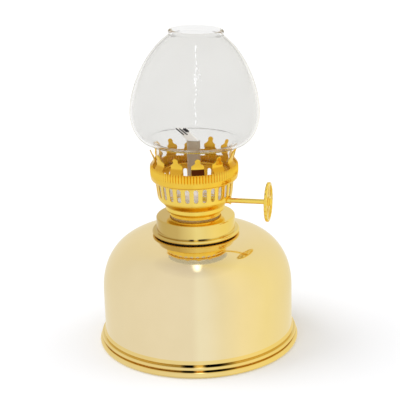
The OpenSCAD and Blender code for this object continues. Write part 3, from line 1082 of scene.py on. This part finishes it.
def wick_braid_mesh():
    fine, columns, yarn_h = 0.11, 76, 0.17
    hidden = TUBE_TOP - WICK_LOW
    stations = [2.0 * i - hidden for i in range(int((hidden - 3) / 2))]
    count = int((WICK_TOP - stations[-1]) / fine)
    stations += [stations[-1] + (WICK_TOP - stations[-1]) * (i + 1) / count for i in range(count)]
    shape = bmesh.new()
    rings = []
    for s in stations:
        ring = []
        for i in range(columns):
            a = 2 * math.pi * i / columns
            across = WICK_HALF * math.copysign(abs(math.cos(a)) ** 0.75, math.cos(a))
            out = (WICK_HALF_T - yarn_h) * math.copysign(abs(math.sin(a)) ** 0.5, math.sin(a))
            out += math.copysign(yarn_h * braid(s, across), out) * min(1, abs(out) * 3)
            ring.append(shape.verts.new(wick_point(s, across, out)))
        rings.append(ring)
    skin(shape, rings)
    return closed_mesh(shape, "wick_braid")


def wick_mark_mesh(name, top, foot, length, radius):
    """A dark thread on the wick's face, from its cut end down. Top and foot are the places
    across the wick where it starts and ends."""
    above_end, steps = 0.12, 27
    flatter, forward = 0.4, 0.7
    path = []
    for i in range(steps + 1):
        across = top + (foot - top) * i / steps
        path.append(wick_point(WICK_TOP + above_end - length * i / steps, across, 0))
    mesh = yarn(name, path, radius)
    for vertex in mesh.vertices:
        vertex.co.y = flatter * vertex.co.y - forward * MM
    return mesh


def build_wick(cotton, black):
    pieces = [add_piece(wick_braid_mesh(), cotton, "wick", "wick")]
    threads = [(-2.7, -1.5, 3.1, 0.3), (-1.1, 0.4, 3.0, 0.3), (0.8, 1.5, 1.5, 0.5), (1.6, 2.3, 1.5, 0.5)]
    for number, (top, foot, length, radius) in enumerate(threads, 1):
        mark = wick_mark_mesh(f"wick_mark_{number}", top, foot, length, radius)
        pieces.append(add_piece(mark, black, "wick", "wick"))
    pieces.append(add_fray(cotton))
    for piece in pieces:
        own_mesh(piece)


def tube_between(shape, path, radius_at, sides=8, twist=0.0):
    """Sweeps a closed tube along a path of points in metres. The radius, in millimetres, is
    a function of how far along the path it is, 0 to 1, and of the angle round it."""
    rings = []
    for i, point in enumerate(path):
        ahead = path[min(i + 1, len(path) - 1)] - path[max(i - 1, 0)]
        forward = ahead.normalized()
        side = forward.cross(Vector((0, 1, 0)))
        if side.length < 1e-3:
            side = forward.cross(Vector((1, 0, 0)))
        side.normalize()
        other = side.cross(forward)
        ring = []
        for k in range(sides):
            a = 2 * math.pi * k / sides
            r = radius_at(i / (len(path) - 1), a + twist * i)
            ring.append(shape.verts.new(point + (side * math.cos(a) + other * math.sin(a)) * r * MM))
        rings.append(ring)
    skin(shape, rings)


def yarn(name, path, radius):
    """A twisted dark thread: a tube with lobes that turn along it."""
    shape = bmesh.new()
    tube_between(shape, path, lambda t, a: radius * (1 + 0.16 * math.cos(3 * a)), 14, 0.55)
    return closed_mesh(shape, name)


def add_fray(cotton):
    """Loose fibres that stand out of the wick's cut end."""
    fibres, fibre_r, taper = 70, 0.05, 0.7
    draw = random.Random(7)
    shape = bmesh.new()
    for _ in range(fibres):
        across = draw.uniform(-WICK_HALF + 0.2, WICK_HALF - 0.2)
        out = draw.uniform(-0.5, 0.5)
        length = draw.uniform(0.35, 1.1)
        splay = Vector((draw.uniform(-0.4, 0.4), draw.uniform(-0.3, 0.3), draw.uniform(-0.2, 0.3)))
        path = []
        for i in range(5):
            t = i / 4
            path.append(wick_point(WICK_TOP - 0.3 + length * t, across, out) + splay * t * t * length * MM)
        tube_between(shape, path, lambda t, a: fibre_r * (1 - taper * t), 5)
    return add_piece(closed_mesh(shape, "wick_fray"), cotton, "wick", "wick")


# ---------------------------------------------------------------- chimney

LAMP_H = cad_high.z / MM
SEAT_Z = BOWL_TOP + 0.7
GLASS_T = 1.2
NECK_R = 18.4
BULB_R = 31.3
BULB_LOW = 102.5
WIDEST_Z = 117.0
RIM_R = 13.2
RIM_ROUND = 0.95
# How far the glass leans, in radians, and the height above its seat that stays in place.
STANCE = 0.042
STANCE_PIVOT = 4.0
# Where the painted highlight line down the front of the glass starts.
GLASS_HIGHLIGHT_LOW = 118.0


def glass_side(depth):
    """The glass's outline from the neck's foot to below the rim, set in by depth."""
    blend = 4.0
    wide, joint = BULB_R - depth, NECK_R + blend
    side = [(NECK_R - depth, SEAT_Z + 2.2 * i) for i in range(6)]
    side += arc(joint, BULB_LOW - blend, blend + depth, 180, 95, 10)
    side += swell(joint, wide, WIDEST_Z, BULB_LOW + depth, 2.0, 1.9, 90, 44)[::-1]
    side += swell(6.8, wide, WIDEST_Z, LAMP_H - depth, 1.61, 1.7, 71, 72)[1:]
    return side


def lean(mesh):
    """Stands the glass a little crooked in the prongs, its foot still flat on the shelf."""
    turn = math.radians(CAMERA_AZIMUTH)
    right = Vector((math.cos(turn), math.sin(turn), 0))
    flat_foot_h = 10
    for vertex in mesh.vertices:
        height = vertex.co.z / MM - SEAT_Z
        share = min(1.0, max(0.0, height / flat_foot_h))
        tilt = STANCE * share * share * (3 - 2 * share)
        across = vertex.co.dot(right)
        vertex.co += right * (STANCE * (height - STANCE_PIVOT) * MM)
        vertex.co.z -= tilt * across


def build_chimney(glass):
    mouth = RIM_R - 2
    outline = glass_side(0)
    outline += arc(RIM_R - RIM_ROUND, LAMP_H - RIM_ROUND, RIM_ROUND, -50, 90, 14)
    outline += arc(mouth + 0.5, LAMP_H - 0.5, 0.5, 90, 180, 5)
    outline += [(mouth, LAMP_H - 2 * RIM_ROUND)]
    outline += glass_side(GLASS_T)[::-1]
    mesh = lathe("glass", outline, 256)
    lean(mesh)
    piece = add_piece(mesh, glass, "chimney", "chimney")
    piece.visible_diffuse = False
    piece.visible_shadow = False


def painted_highlight_material():
    """Matte white, for the painted highlight line down the glass and for its seed."""
    material, tree, surface = new_material("glass_painted_highlight")
    grain = noise(tree, object_coords(tree), 1800, 3)
    color = two_tone(tree, grain, (0.92, 0.92, 0.92), (0.99, 0.99, 0.99))
    feed(surface, "Base Color", color)
    feed(surface, "Roughness", remap(tree, grain, 0.2, 0.4))
    return material


def add_painted_glass_highlight():
    """A painted highlight: a broken white line down the front of the glass, with a cluster of seed in the
    same white.
    """
    seeds, cluster_middle, cluster_spread, cluster_turn = 26, 0.52, 0.07, 0.035
    wander = 0.012
    draw = random.Random(11)
    front = math.radians(CAMERA_AZIMUTH - 90)
    side = [point for point in glass_side(0) if point[1] > GLASS_HIGHLIGHT_LOW]
    profile = Profile(side)
    shape = bmesh.new()
    along = 0.5
    while along < profile.length - 2:
        length = draw.uniform(1.0, 4.0)
        radius = draw.uniform(0.12, 0.28)
        path = []
        for i in range(7):
            v = along + length * i / 6
            r, z = profile.at(v)
            path.append(around(front + wander * math.sin(0.5 * v), r, z))
        tube_between(shape, path, lambda t, a: radius * math.sin(math.pi * (0.1 + 0.8 * t)), 8)
        along += length + draw.uniform(0.2, 1.2)
    for _ in range(seeds):
        r, z = profile.at(draw.gauss(cluster_middle, cluster_spread) * profile.length)
        place = Matrix.Translation(around(front + draw.gauss(0.0, cluster_turn), r - 0.1, z))
        stretch = Matrix.Diagonal((1, 1, draw.uniform(1.0, 2.2), 1))
        radius = draw.uniform(0.12, 0.3) * MM
        bmesh.ops.create_icosphere(shape, subdivisions=2, radius=radius, matrix=place @ stretch)
    mesh = closed_mesh(shape, "glass_painted_highlight")
    lean(mesh)
    piece = add_piece(mesh, painted_highlight_material(), "chimney", "chimney")
    piece.visible_shadow = False


# ---------------------------------------------------------------- the lamp


def dress(node, material):
    """Gives a CAD node that stays in view its finished material."""
    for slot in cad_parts[node].material_slots:
        slot.material = material


def build_lamp():
    gold = burner_gold_material()
    satin = satin_gold_material()
    steel = tinned_steel_material()
    bright_tin = bright_tin_material()
    build_font(pale_gold_material(), foot_gold_material())
    build_collar(collar_gold_material())
    build_ferrule(gold)
    build_bowl(gold, bowl_lining_material())
    build_crown(gallery_gold_material(), satin)
    build_knob(gold)
    build_wick(
        cotton_material("wick_yarn", (0.86, 0.84, 0.80), (0.97, 0.96, 0.94)),
        cotton_material("wick_dark_yarn", (0.004, 0.004, 0.005), (0.03, 0.028, 0.03)),
    )
    build_chimney(glass_material())
    # The painted highlight line and seed on the front of the glass.
    add_painted_glass_highlight()
    dress("collar_seal", seal_material("seal_rubber", (0.012, 0.010, 0.009), (0.045, 0.038, 0.032)))
    dress("burner_washer", seal_material("washer_fibre", (0.55, 0.36, 0.14), (0.70, 0.50, 0.24)))
    for node in ("winder_shaft", "shaft_bushing"):
        dress(node, gold)
    for node in ("burner_floor", "wheel_housing"):
        dress(node, bright_tin)
    for node in ("wick_tube", "vent_tube", "shaft_stop_ring", "spur_wheel_left", "spur_wheel_right"):
        dress(node, steel)


add_camera()
add_world()
add_floor()
add_light_tent()
soft_light("left_light", -100, 1.45)
soft_light("right_light", 100, 0.6)
soft_light("front_light", -15, 0.6)
allow_long_paths()
scene.view_settings.view_transform = "Standard"
build_lamp()
